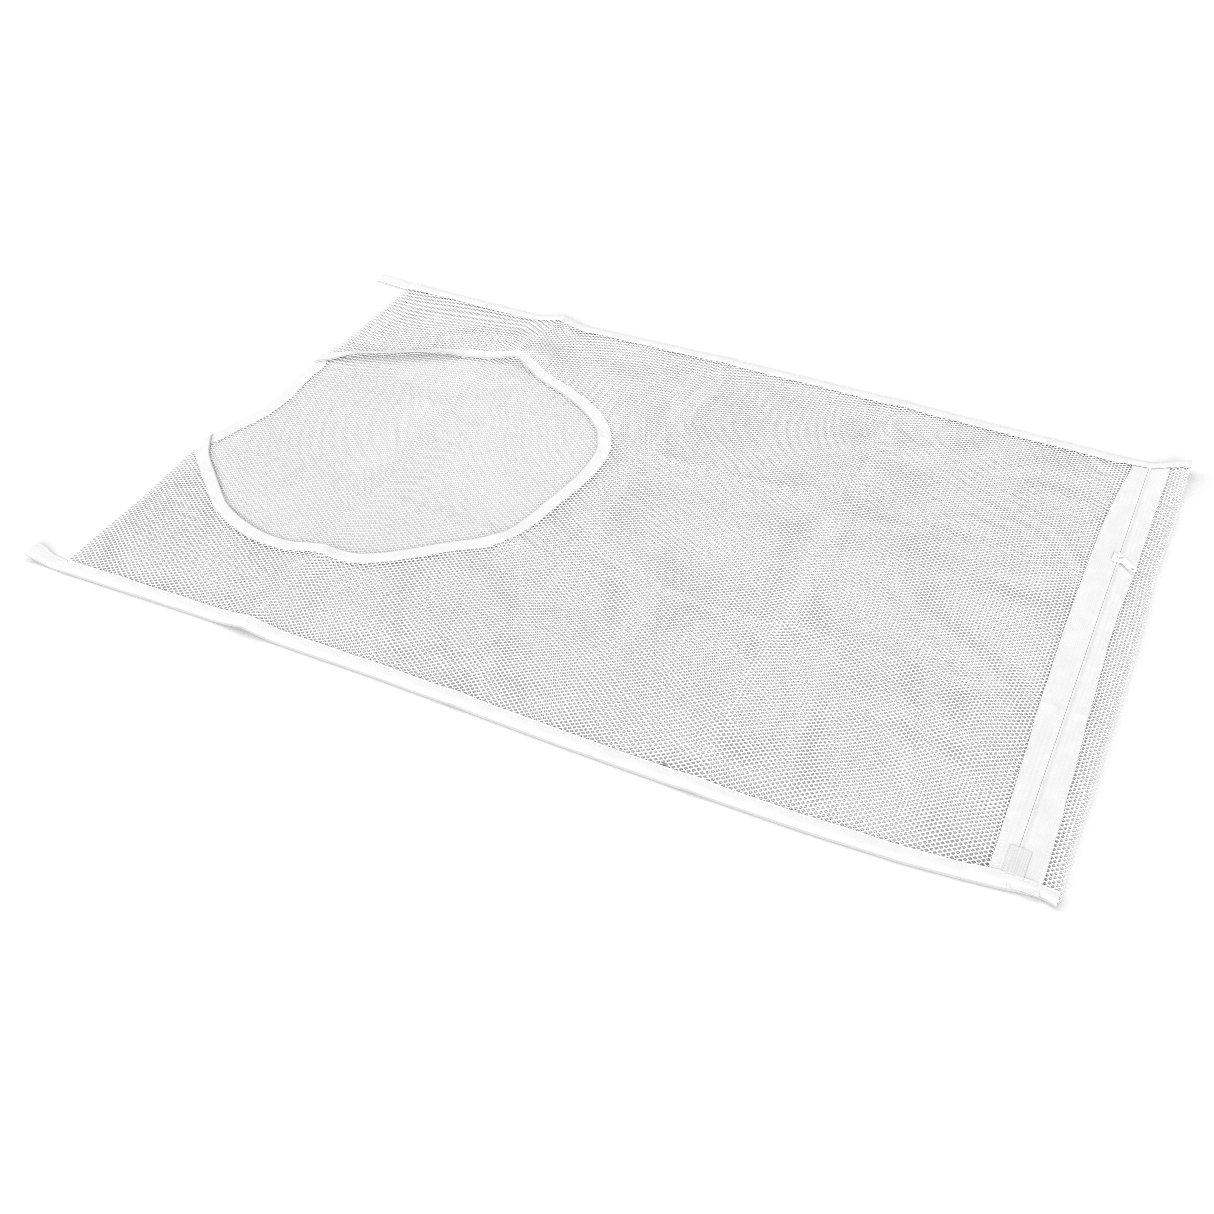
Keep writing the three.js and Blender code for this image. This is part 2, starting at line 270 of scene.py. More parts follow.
base = base + corner_far + corner_near + tail
low_spread = waves(21, 6, 130, 320)
edge_far = smooth((far_y(GX) - 14 - GY) / 40)
edge_near = smooth((GY - near_y(GX) - 14) / 40)
edge_left = smooth((GX - fold_x(GY)) / 32)
edge_right = smooth((tape_left(GY) - 2 - GX) / 42)
free = edge_far * edge_near * edge_left * edge_right
pressed = 1 - 0.8 * np.maximum.reduce([T1, T2, T3, T4, T5])
on_ring = smooth((ring_d - 8) / 42)
back_wave = waves(3, 8, 110, 270)
front_wave = waves(7, 12, 115, 270)
back_extra = free * (0.6 + 0.5 * back_wave(GX, GY))
back_extra = np.maximum(back_extra, -0.35)
front_extra = free * pressed * on_ring * np.clip(1.7 + 1.1 * front_wave(GX, GY), 0.15, 6.0)
z_back_grid = base + 0.92 + back_extra
z_front_grid = np.maximum(base + 2.6 + front_extra + 0.6 * back_extra, z_back_grid + 0.95)
G = sampled(base)
Z_BACK = sampled(z_back_grid)
Z_FRONT = sampled(z_front_grid)

# ------------------------------------------------------------------------------------- how the netting has shifted
ramp = smooth(GX / 70) * smooth((800 - GX) / 50)
bx, by = waves(11, 6, 150, 420), waves(12, 6, 150, 420)
fx, fy = waves(13, 8, 140, 340), waves(17, 8, 140, 340)
shift_left = fold_x(GY) * np.exp(-np.clip(GX, 0, None) / 110)
shift_right = right_x(GY) * smooth((GX - 700) / 95)
DBX = sampled(0.8 * bx(GX, GY) * ramp + shift_left + shift_right)
DBY = sampled(0.8 * by(GX, GY))
# each panel between the packing creases has slipped its own way over the layer beneath
step1 = smooth((GX - crease_x(GY) + 6) / 12)
step2 = smooth((GX - x2 + 5) / 10)
step3 = smooth((GX - x3 + 5) / 10)
step4 = smooth((GY - y1 + 5) / 10)
step5 = smooth((GY - y2 + 5) / 10)
slip_x = (1.5 * step1 * np.cos(GY / 120) - 1.7 * step2 * np.cos(GY / 95 + 1.0) + 1.8 * step3 * np.cos(GY / 140 - 0.6)
          + 0.9 * step4 * np.cos(GX / 110) - 1.0 * step5 * np.cos(GX / 130 + 0.8))
slip_y = (0.8 * step1 * np.sin(GY / 100) - 0.9 * step2 * np.sin(GY / 120 + 0.5) + 1.0 * step3 * np.sin(GY / 90)
          + 1.6 * step4 * np.cos(GX / 100 + 0.4) - 1.7 * step5 * np.cos(GX / 125 - 0.5))
DFX = sampled((0.4 * bx(GX, GY) + 2.1 * fx(GX, GY) + 0.8 * slip_x) * ramp + shift_left + shift_right)
DFY = sampled(0.8 * by(GX, GY) * (1 - ramp) + (0.4 * by(GX, GY) + 2.1 * fy(GX, GY) + 0.8 * slip_y) * ramp)
FOLD_R = 1.3


def net_surface(s, t):
    """The netting's middle surface. s runs round the bag: 0 to 800 on the front, 0 to -800 on the back."""
    s = np.where(s > LENGTH + 8, s - 2 * LENGTH, s)
    front_side = np.where(s > LENGTH, False, s > 0)
    a = np.where(s > LENGTH, 2 * LENGTH - s, np.abs(s))
    left = a < LENGTH / 2
    d = np.where(left, a, LENGTH - a)
    signed = np.where(front_side, d, -d)
    w = 0.5 + 0.5 * np.sin(np.clip(signed / FOLD_R, -1, 1) * np.pi / 2)
    d2 = d * (1 - np.exp(-((d + 0.05) / FOLD_R) ** 2))
    x0 = np.where(left, d2, LENGTH - d2)
    fxx, fyy = x0 + DFX(a, t), t + DFY(a, t)
    bxx, byy = x0 + DBX(a, t), t + DBY(a, t)
    x = bxx + (fxx - bxx) * w
    y = byy + (fyy - byy) * w
    z = Z_BACK(x, y) + (Z_FRONT(x, y) - Z_BACK(x, y)) * w
    return np.stack([x, y, z], -1)


def net_points(s, t, h):
    p = net_surface(s, t)
    e = 0.25
    ps = net_surface(s + e, t) - net_surface(s - e, t)
    pt = net_surface(s, t + e) - net_surface(s, t - e)
    n = np.cross(ps, pt)
    n /= np.linalg.norm(n, axis=1)[:, None] + 1e-12
    return p + n * h[:, None]


# ----------------------------------------------------------------------------------------------- node materials
def new_material(name):
    m = bpy.data.materials.new(name)
    m.use_nodes = True
    nt = m.node_tree
    bsdf = next(n for n in nt.nodes if n.type == "BSDF_PRINCIPLED")
    return m, nt, bsdf


def node(nt, kind, **values):
    n = nt.nodes.new(kind)
    for k, v in values.items():
        if k.startswith("in_"):
            n.inputs[k[3:].replace("_", " ")].default_value = v
        else:
            setattr(n, k, v)
    return n


def ramp_node(nt, stops):
    r = nt.nodes.new("ShaderNodeValToRGB")
    r.color_ramp.interpolation = "EASE"
    while len(r.color_ramp.elements) < len(stops):
        r.color_ramp.elements.new(0.5)
    for e, (pos, c) in zip(r.color_ramp.elements, stops):
        e.position = pos
        e.color = (c[0], c[1], c[2], 1)
    return r


def mix_rgb(nt, blend, fac):
    n = nt.nodes.new("ShaderNodeMix")
    n.data_type = "RGBA"
    n.blend_type = blend
    n.inputs[0].default_value = fac
    return n


def grey(v, warm=0.0):
    return (v * (1 + warm), v, v * (1 - warm))


# white knitted polyester netting: twisted filaments, a faint unevenness, one grey mark near the near seam
net_mat, nt, bsdf = new_material("polyester_net")
coord = node(nt, "ShaderNodeTexCoord")
big = node(nt, "ShaderNodeTexNoise", in_Scale=9.0, in_Detail=3.0, in_Roughness=0.55)
nt.links.new(coord.outputs["Object"], big.inputs["Vector"])
cr = ramp_node(nt, [(0.3, grey(0.92)), (0.7, grey(0.96))])
nt.links.new(big.outputs["Fac"], cr.inputs["Fac"])
fine = node(nt, "ShaderNodeTexNoise", in_Scale=1500.0, in_Detail=2.0)
nt.links.new(coord.outputs["Object"], fine.inputs["Vector"])
mul = mix_rgb(nt, "MULTIPLY", 0.08)
nt.links.new(cr.outputs["Color"], mul.inputs[6])
fr = ramp_node(nt, [(0.25, grey(0.62)), (0.75, grey(1.0))])
nt.links.new(fine.outputs["Fac"], fr.inputs["Fac"])
nt.links.new(fr.outputs["Color"], mul.inputs[7])
# the mark
MARK = ((527.5 - OX) / 1000, (11.9 - OY) / 1000, 0.0028)
sub = node(nt, "ShaderNodeVectorMath", operation="SUBTRACT")
sub.inputs[1].default_value = MARK
nt.links.new(coord.outputs["Object"], sub.inputs[0])
length = node(nt, "ShaderNodeVectorMath", operation="LENGTH")
nt.links.new(sub.outputs["Vector"], length.inputs[0])
spot = node(nt, "ShaderNodeMapRange")
spot.inputs["From Min"].default_value = 0.0012
spot.inputs["From Max"].default_value = 0.0036
spot.inputs["To Min"].default_value = 0.85
spot.inputs["To Max"].default_value = 0.0
nt.links.new(length.outputs["Value"], spot.inputs["Value"])
dark = mix_rgb(nt, "MIX", 0.0)
dark.inputs[7].default_value = (0.10, 0.10, 0.10, 1)
nt.links.new(spot.outputs["Result"], dark.inputs[0])
nt.links.new(mul.outputs[2], dark.inputs[6])
nt.links.new(dark.outputs[2], bsdf.inputs["Base Color"])
twist = node(nt, "ShaderNodeTexWave", in_Scale=420.0, in_Distortion=3.0, in_Detail=1.0)
twist.bands_direction = "DIAGONAL"
nt.links.new(coord.outputs["Object"], twist.inputs["Vector"])
bump = node(nt, "ShaderNodeBump", in_Strength=0.35, in_Distance=0.00008)
nt.links.new(twist.outputs["Fac"], bump.inputs["Height"])
nt.links.new(bump.outputs["Normal"], bsdf.inputs["Normal"])
rr = node(nt, "ShaderNodeMapRange", in_To_Min=0.5, in_To_Max=0.68)
nt.links.new(fine.outputs["Fac"], rr.inputs["Value"])
nt.links.new(rr.outputs["Result"], bsdf.inputs["Roughness"])
bsdf.inputs["Sheen Weight"].default_value = 0.15
bsdf.inputs["Specular IOR Level"].default_value = 0.35


# painted shade: the back layer, seen in the opening and through the front layer, gets a darker copy of the netting's
# colour, standing in for the shadow the front layer casts on it
net_shaded_back_mat = net_mat.copy()
net_shaded_back_mat.name = "polyester_net_painted_shade"
for n in net_shaded_back_mat.node_tree.nodes:
    if n.type == "VALTORGB" and n.color_ramp.elements[0].color[0] > 0.9:
        n.color_ramp.elements[0].color = (0.79, 0.79, 0.79, 1)
        n.color_ramp.elements[1].color = (0.84, 0.84, 0.84, 1)


def weave_material(name, light, hollow_shade_c, pitch, depth, twill=False, rough=(0.6, 0.78), mottling=0.05, edge=False):
    """Woven cloth: warp and weft threads of the given pitch (metres) through the piece's own map, with threads that differ a little."""
    m, nt, bsdf = new_material(name)
    uv = node(nt, "ShaderNodeUVMap", uv_map="cloth")
    sep = node(nt, "ShaderNodeSeparateXYZ")
    nt.links.new(uv.outputs["UV"], sep.inputs["Vector"])

    def stripes(output, phase_from=None):
        mu = node(nt, "ShaderNodeMath", operation="MULTIPLY")
        mu.inputs[1].default_value = 2 * math.pi / (pitch * 1000)
        nt.links.new(output, mu.inputs[0])
        src = mu.outputs[0]
        if phase_from is not None:
            ad = node(nt, "ShaderNodeMath", operation="ADD")
            nt.links.new(src, ad.inputs[0])
            nt.links.new(phase_from, ad.inputs[1])
            src = ad.outputs[0]
        si = node(nt, "ShaderNodeMath", operation="SINE")
        nt.links.new(src, si.inputs[0])
        return mu.outputs[0], si.outputs[0]

    pu, su = stripes(sep.outputs["X"])
    if twill:
        pv, sv = stripes(sep.outputs["Y"], pu)
    else:
        pv, sv = stripes(sep.outputs["Y"])
    prod = node(nt, "ShaderNodeMath", operation="MULTIPLY")
    nt.links.new(su, prod.inputs[0])
    nt.links.new(sv, prod.inputs[1])
    height = node(nt, "ShaderNodeMath", operation="MULTIPLY_ADD")
    height.inputs[1].default_value = 0.5
    height.inputs[2].default_value = 0.5
    nt.links.new(prod.outputs[0], height.inputs[0])
    coord = node(nt, "ShaderNodeTexCoord")
    noise = node(nt, "ShaderNodeTexNoise", in_Scale=60.0, in_Detail=4.0, in_Roughness=0.6)
    nt.links.new(coord.outputs["Object"], noise.inputs["Vector"])
    thread = node(nt, "ShaderNodeTexNoise", in_Scale=900.0, in_Detail=2.0)
    nt.links.new(coord.outputs["Object"], thread.inputs["Vector"])
    # painted shade: where the weave is low, between the threads, it takes the darker colour, and the thread crowns take
    # the lighter one
    cr = ramp_node(nt, [(0.0, hollow_shade_c), (0.85, light)])
    nt.links.new(height.outputs[0], cr.inputs["Fac"])
    mot = mix_rgb(nt, "MULTIPLY", 1.0)
    nt.links.new(cr.outputs["Color"], mot.inputs[6])
    mr = ramp_node(nt, [(0.3, grey(1 - mottling)), (0.7, grey(1.0))])
    nt.links.new(noise.outputs["Fac"], mr.inputs["Fac"])
    nt.links.new(mr.outputs["Color"], mot.inputs[7])
    out = mot.outputs[2]
    if edge:   # painted shade along the fold, which is at 0 across the map: a grey line standing in for the fold's shadow
        off = node(nt, "ShaderNodeMath", operation="ABSOLUTE")
        nt.links.new(sep.outputs["Y"], off.inputs[0])
        near = node(nt, "ShaderNodeMapRange")
        near.inputs["From Min"].default_value = 1.2
        near.inputs["From Max"].default_value = 1.7
        near.inputs["To Min"].default_value = 1.0
        near.inputs["To Max"].default_value = 0.0
        nt.links.new(off.outputs[0], near.inputs["Value"])
        fold_shade_mix = mix_rgb(nt, "MIX", 0.0)
        fold_shade_mix.inputs[7].default_value = (0.50, 0.50, 0.50, 1)
        nt.links.new(near.outputs["Result"], fold_shade_mix.inputs[0])
        nt.links.new(out, fold_shade_mix.inputs[6])
        out = fold_shade_mix.outputs[2]
    nt.links.new(out, bsdf.inputs["Base Color"])
    ro = node(nt, "ShaderNodeMapRange", in_To_Min=rough[0], in_To_Max=rough[1])
    nt.links.new(thread.outputs["Fac"], ro.inputs["Value"])
    nt.links.new(ro.outputs["Result"], bsdf.inputs["Roughness"])
    hsum = node(nt, "ShaderNodeMath", operation="MULTIPLY_ADD")
    hsum.inputs[1].default_value = 0.35
    nt.links.new(thread.outputs["Fac"], hsum.inputs[0])
    nt.links.new(height.outputs[0], hsum.inputs[2])
    bump = node(nt, "ShaderNodeBump", in_Strength=0.45, in_Distance=depth)
    nt.links.new(hsum.outputs[0], bump.inputs["Height"])
    nt.links.new(bump.outputs["Normal"], bsdf.inputs["Normal"])
    bsdf.inputs["Sheen Weight"].default_value = 0.12
    bsdf.inputs["Specular IOR Level"].default_value = 0.3
    return m


# edge=True paints a grey line of shade along the folded edges of the side bindings and the opening tape
binding_mat = weave_material("binding_weave", grey(0.735), grey(0.67), 0.00055, 0.00008, edge=True)
zip_tape_mat = weave_material("zipper_tape_weave", grey(0.72), grey(0.665), 0.0005, 0.00007, twill=True)
patch_mat = weave_material("ribbed_patch_weave", grey(0.68), grey(0.58), 0.0009, 0.00012, rough=(0.7, 0.85), mottling=0.08)

thread_mat, nt, bsdf = new_material("sewing_thread")
coord = node(nt, "ShaderNodeTexCoord")
ply = node(nt, "ShaderNodeTexWave", in_Scale=700.0, in_Distortion=1.5)
ply.bands_direction = "DIAGONAL"
nt.links.new(coord.outputs["Object"], ply.inputs["Vector"])
# painted shade: the grooves between the plies, low in the bump, are coloured darker
cr = ramp_node(nt, [(0.0, grey(0.76)), (1.0, grey(0.87))])
nt.links.new(ply.outputs["Fac"], cr.inputs["Fac"])
nt.links.new(cr.outputs["Color"], bsdf.inputs["Base Color"])
bump = node(nt, "ShaderNodeBump", in_Strength=0.4, in_Distance=0.00006)
nt.links.new(ply.outputs["Fac"], bump.inputs["Height"])
nt.links.new(bump.outputs["Normal"], bsdf.inputs["Normal"])
bsdf.inputs["Roughness"].default_value = 0.5
bsdf.inputs["Sheen Weight"].default_value = 0.1

coil_mat, nt, bsdf = new_material("nylon_coil")
coord = node(nt, "ShaderNodeTexCoord")
noise = node(nt, "ShaderNodeTexNoise", in_Scale=220.0, in_Detail=3.0)
nt.links.new(coord.outputs["Object"], noise.inputs["Vector"])
cr = ramp_node(nt, [(0.3, grey(0.80)), (0.7, grey(0.88))])
nt.links.new(noise.outputs["Fac"], cr.inputs["Fac"])
nt.links.new(cr.outputs["Color"], bsdf.inputs["Base Color"])
rr = node(nt, "ShaderNodeMapRange", in_To_Min=0.22, in_To_Max=0.38)
nt.links.new(noise.outputs["Fac"], rr.inputs["Value"])
nt.links.new(rr.outputs["Result"], bsdf.inputs["Roughness"])

metal_mat, nt, bsdf = new_material("white_lacquered_zinc")
coord = node(nt, "ShaderNodeTexCoord")
noise = node(nt, "ShaderNodeTexNoise", in_Scale=260.0, in_Detail=5.0, in_Roughness=0.6)
nt.links.new(coord.outputs["Object"], noise.inputs["Vector"])
cr = ramp_node(nt, [(0.25, grey(0.80, 0.004)), (0.75, grey(0.875, 0.004))])
nt.links.new(noise.outputs["Fac"], cr.inputs["Fac"])
nt.links.new(cr.outputs["Color"], bsdf.inputs["Base Color"])
rr = node(nt, "ShaderNodeMapRange", in_To_Min=0.20, in_To_Max=0.36)
nt.links.new(noise.outputs["Fac"], rr.inputs["Value"])
nt.links.new(rr.outputs["Result"], bsdf.inputs["Roughness"])
bump = node(nt, "ShaderNodeBump", in_Strength=0.25, in_Distance=0.00006)
nt.links.new(noise.outputs["Fac"], bump.inputs["Height"])
nt.links.new(bump.outputs["Normal"], bsdf.inputs["Normal"])
bsdf.inputs["Coat Weight"].default_value = 0.4
bsdf.inputs["Coat Roughness"].default_value = 0.12

# ------------------------------------------------------------------------------------------------- the netting
ROW = LENGTH / 291.0          # between rows of holes along the bag
PITCH = 4.11                  # between holes in a row, across the bag
RIM = 1.47                    # from a hole's middle to its rim's corners
THICK = 0.33                  # half the thickness of a strand


def circumcorners():
    vx = (ROW ** 2 + (PITCH / 2) ** 2) / (2 * ROW)
    vy = PITCH / 2
    vxx = (ROW ** 2 + (PITCH / 2) ** 2 - PITCH * vy) / (2 * ROW)
    return np.array([(vx, 0), (vxx, vy), (-vxx, vy), (-vx, 0), (-vxx, -vy), (vxx, -vy)])


CORNERS = circumcorners()
CORNER_DIR = CORNERS / np.linalg.norm(CORNERS, axis=1)[:, None]


def net_piece(name, ci, cj, front):
    """A closed piece of hexagonal netting from its cells' column and row numbers."""
    s = ci * ROW
    t = (cj + 0.5 * (ci % 2)) * PITCH + 1.2
    n = len(s)
    cs = s[:, None] + CORNERS[None, :, 0]
    ct = t[:, None] + CORNERS[None, :, 1]
    # neighbouring cells give the same corner to within rounding
    code = np.round(cs.ravel() / 0.35).astype(np.int64) * 100003 + np.round(ct.ravel() / 0.35).astype(np.int64)
    uniq, first, inv = np.unique(code, return_index=True, return_inverse=True)
    inv = inv.reshape(-1)
    us, ut = cs.ravel()[first], ct.ravel()[first]
    m = len(us)
    rs = s[:, None] + CORNER_DIR[None, :, 0] * RIM
    rt = t[:, None] + CORNER_DIR[None, :, 1] * RIM
    top = net_points(us, ut, np.full(m, THICK))
    bottom = net_points(us, ut, np.full(m, -THICK))
    rim = net_surface(rs.ravel(), rt.ravel())
    co = np.concatenate([top, bottom, rim])
    a = inv.reshape(n, 6)
    b = np.roll(a, -1, 1)
    r0 = 2 * m + np.arange(n * 6).reshape(n, 6)
    r1 = np.roll(r0, -1, 1)
    upper = np.stack([a, b, r1, r0], -1).reshape(-1, 4)
    lower = np.stack([b + m, a + m, r0, r1], -1).reshape(-1, 4)
    ea, eb = a.ravel(), b.ravel()
    pair = np.minimum(ea, eb).astype(np.int64) * (m + 1) + np.maximum(ea, eb)
    _, where, count = np.unique(pair, return_inverse=True, return_counts=True)
    alone = count[where.reshape(-1)] == 1
    wa, wb = ea[alone], eb[alone]
    wall = np.stack([wb, wa, wa + m, wb + m], -1)
    faces = [upper, lower, wall]
    lo, hi = co.min(0), co.max(0)
    uv = (co[:, :2] - lo[:2]) / (hi[:2] - lo[:2]) * 0.96 + 0.02
    # the back layer takes the darker copy of the netting's colour, which is painted shade
    ob = mesh_object(name, co, faces, [("OFBake", uv)], None, net_mat if front else net_shaded_back_mat)
    me = ob.data
    # the cut walls get a hard edge so the strands' shading stays round
    total = len(upper) + len(lower)
    if len(me.polygons) == total + len(wall):
        sm = np.ones(len(me.polygons), bool)
        sm[total:] = False
        me.polygons.foreach_set("use_smooth", sm)
    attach(ob, "net_bag")
    return ob


def cells(i0, i1, front):
    """The whole cells of one layer whose middles lie inside its panel."""
    ii, jj = np.meshgrid(np.arange(i0, i1), np.arange(-6, 142), indexing="ij")
    ii, jj = ii.ravel(), jj.ravel()
    s = ii * ROW
    t = (jj + 0.5 * (ii % 2)) * PITCH + 1.2
    p = net_surface(s, t)
    x, y = p[:, 0], p[:, 1]
    keep = (y > near_y(x) + 3.6) & (y < far_y(x) - 3.6)
    if front:
        keep &= ~inside(front_cut, x, y)
    else:
        keep &= ~inside(back_cut, x, y)
    return ii[keep], jj[keep]


def declare_net(node_names):
    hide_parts(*node_names)


def split(i0, i1, parts):
    e = np.round(np.linspace(i0, i1, parts + 1)).astype(int)
    return list(zip(e[:-1], e[1:]))


front_end = int((ZIP_X - HALF_GAP - 9.2) / ROW)
for k, (a, b) in enumerate([(1, 66), (66, 124), (124, 176), (176, 228), (228, front_end)]):
    ii, jj = cells(a, b, True)
    ob = net_piece(f"front_net_{k + 1}", ii, jj, True)
    declare_net(["front_net_panel"])
strip_start = int((ZIP_X + HALF_GAP + 9.5) / ROW)
ii, jj = cells(strip_start, 291, True)
ob = net_piece("zip_end_net", ii, jj, True)
declare_net(["zip_end_net_strip"])
for k, (a, b) in enumerate([(-291, -233), (-233, -175), (-175, -117), (-117, -59), (-59, 1)]):
    ii, jj = cells(a, b, False)
    ob = net_piece(f"back_net_{k + 1}", ii, jj, False)
    declare_net(["back_net_panel"])


# ------------------------------------------------------------------------------------------------ swept tapes
def sweep(name, grid, closed, material, uv_u, uv_v, angle=40, caps=True):
    """grid: (n, m, 3) points, m round the section, n along the path."""
    n, m, _ = grid.shape
    co = grid.reshape(-1, 3)
    idx = np.arange(n * m).reshape(n, m)
    if closed:
        a, b = idx, np.roll(idx, -1, 0)
    else:
        a, b = idx[:-1], idx[1:]
    quads = np.stack([a, b, np.roll(b, -1, 1), np.roll(a, -1, 1)], -1).reshape(-1, 4)
    faces = [quads]
    # corner maps, so the seam of the section doesn't smear
    u = np.asarray(uv_u, float)
    v = np.asarray(uv_v, float)
    if closed:
        ua = np.broadcast_to(u[:-1, None], (n, m))
        ub = np.broadcast_to(u[1:, None], (n, m))
    else:
        ua = np.broadcast_to(u[:-1, None], (n - 1, m))
        ub = np.broadcast_to(u[1:, None], (n - 1, m))
    va = np.broadcast_to(v[None, :-1], ua.shape)
    vb = np.broadcast_to(v[None, 1:], ua.shape)
    corner = np.stack([np.stack([ua, va], -1), np.stack([ub, va], -1), np.stack([ub, vb], -1), np.stack([ua, vb], -1)], 2).reshape(-1, 2)
    if not closed and caps:
        faces.append(idx[0][None, :])
        faces.append(idx[-1][::-1][None, :])
        c0 = np.stack([np.full(m, u[0]), v[:-1]], -1)
        c1 = np.stack([np.full(m, u[-1]), v[:-1][::-1]], -1)
        corner = np.concatenate([corner, c0, c1])
    ob = mesh_object(name, co, faces, [("cloth", corner)], angle, material)
    return ob


def arc_length(p):
    return np.concatenate([[0], np.cumsum(np.linalg.norm(np.diff(p, axis=0), axis=1))])


def catmull(points, closed, step):
    p = np.asarray(points, float)
    if closed:
        q = np.concatenate([p[-1:], p, p[:2]])
    else:
        q = np.concatenate([2 * p[:1] - p[1:2], p, 2 * p[-1:] - p[-2:-1]])
    out = []
    for i in range(len(q) - 3):
        p0, p1, p2, p3 = q[i:i + 4]
        t = np.linspace(0, 1, 24, endpoint=False)[:, None]
        out.append(0.5 * ((2 * p1) + (-p0 + p2) * t + (2 * p0 - 5 * p1 + 4 * p2 - p3) * t ** 2 + (-p0 + 3 * p1 - 3 * p2 + p3) * t ** 3))
    out = np.concatenate(out + ([] if closed else [p[-1:]]))
    loop = np.concatenate([out, out[:1]]) if closed else out
    s = arc_length(loop)
    n = max(8, int(round(s[-1] / step)))
    at = np.linspace(0, s[-1], n + 1)
    r = np.stack([np.interp(at, s, loop[:, k]) for k in range(p.shape[1])], -1)
    return (r[:-1], s[-1]) if closed else (r, s[-1])


STITCH = 3.1


def pucker(u, v_gap):
    """How a lockstitch pulls the tape in: a groove along the seam, deepest where the needle went through."""
    return np.exp(-(v_gap / 0.75) ** 2) * (0.16 + 0.12 * np.cos(2 * np.pi * u / STITCH)) + 0.05 * np.exp(-(v_gap / 2.2) ** 2) * np.cos(2 * np.pi * u / STITCH)


def stitches(name, points, normals, material, nodes, closed=False, length=2.45, radius=0.23, pitch=STITCH, body="net_bag"):
    """A row of sewn stitches: short rounded lengths of thread that dive into the cloth at their ends."""
    p = np.asarray(points, float)
    nrm = np.asarray(normals, float)
    loop = np.concatenate([p, p[:1]]) if closed else p
    ln = np.concatenate([nrm, nrm[:1]]) if closed else nrm
    s = arc_length(loop)
    count = int(s[-1] / pitch)
    step = s[-1] / count if closed else pitch
    mids = (np.arange(count) + 0.5) * step
    rings, sides = 7, 7
    tau = np.linspace(-1, 1, rings)
    cos, verts, faces, base_i = [], [], [], 0
    ring_r = radius * np.sqrt(np.clip(1.0 - 0.55 * tau ** 2, 0.05, 1))
    drop = -0.34 * np.abs(tau) ** 3
    at = mids[:, None] + tau[None, :] * length / 2
    pos = np.stack([np.interp(at.ravel(), s, loop[:, k]) for k in range(3)], -1).reshape(count, rings, 3)
    nn = np.stack([np.interp(at.ravel(), s, ln[:, k]) for k in range(3)], -1).reshape(count, rings, 3)
    nn /= np.linalg.norm(nn, axis=2, keepdims=True)
    tg = np.gradient(pos, axis=1)
    tg /= np.linalg.norm(tg, axis=2, keepdims=True)
    side = np.cross(nn, tg)
    pos = pos + nn * (drop[None, :, None] + 0.06)
    ang = np.linspace(0, 2 * np.pi, sides, endpoint=False)
    g = (pos[:, :, None, :]
         + side[:, :, None, :] * (np.cos(ang)[None, None, :, None] * ring_r[None, :, None, None])
         + nn[:, :, None, :] * (np.sin(ang)[None, None, :, None] * ring_r[None, :, None, None] * 0.85))
    co = g.reshape(-1, 3)
    idx = np.arange(count * rings * sides).reshape(count, rings, sides)
    a, b = idx[:, :-1], idx[:, 1:]
    quads = np.stack([a, np.roll(a, -1, 2), np.roll(b, -1, 2), b], -1).reshape(-1, 4)
    cap0 = idx[:, 0][:, ::-1]
    cap1 = idx[:, -1]
    ob = mesh_object(name, co, [quads, cap0, cap1], [], 60, material)
    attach(ob, body)
    if nodes:
        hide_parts(*nodes)
    return ob


# side bindings ------------------------------------------------------------------------------------------------
def binding_section(width, top, slot_low, slot_high, u, n_top=18):
    """Closed section of a folded tape: outer fold at v = 0, both legs' edges at v = width. Returns (m, 2)."""
    pts = []
    # underside, from the inner edge out to the fold
    for v in (width, width - 1.2, width * 0.66, width * 0.33, 2.2):
        pts.append((v, 0.04 if v < width else 0.08))
    fold = min(2.35, top * 0.72)
    pts += [(1.1, 0.06), (0.45, 0.24), (0.1, 0.62), (0.0, fold * 0.5), (0.08, fold * 0.76), (0.4, fold * 0.96)]
    # top
    vs = np.concatenate([[0.9, 1.8, 3.0], np.linspace(4.2, width - 3.2, 5), [width - 2.6, width - 2.2, width - 1.8, width - 1.4, width - 1.0, width - 0.45, width - 0.06]])
    for v in vs:
        crown = fold + (top - fold) * float(smooth((v - 0.2) / 6.0))
        pts.append((v, crown - float(pucker(u, v - (width - 1.8))) + (0.05 * math.sin(v * 1.9))))
    pts.append((width + 0.03, top - 0.16))
    pts.append((width - 0.02, top - TAPE_T))
    # slot
    for v in (width - 3.0, width * 0.5, 3.2):
        crown = fold + (top - fold) * float(smooth((v - 0.2) / 6.0))
        pts.append((v, max(slot_high(v, crown - TAPE_T), slot_low + 0.06)))
    pts.append((1.3, slot_low + 0.25))
    pts.append((1.9, slot_low + 0.02))
    for v in (width * 0.5, width - 1.0):
        pts.append((v, slot_low))
    pts.append((width + 0.02, slot_low - 0.12))
    return np.array(pts)


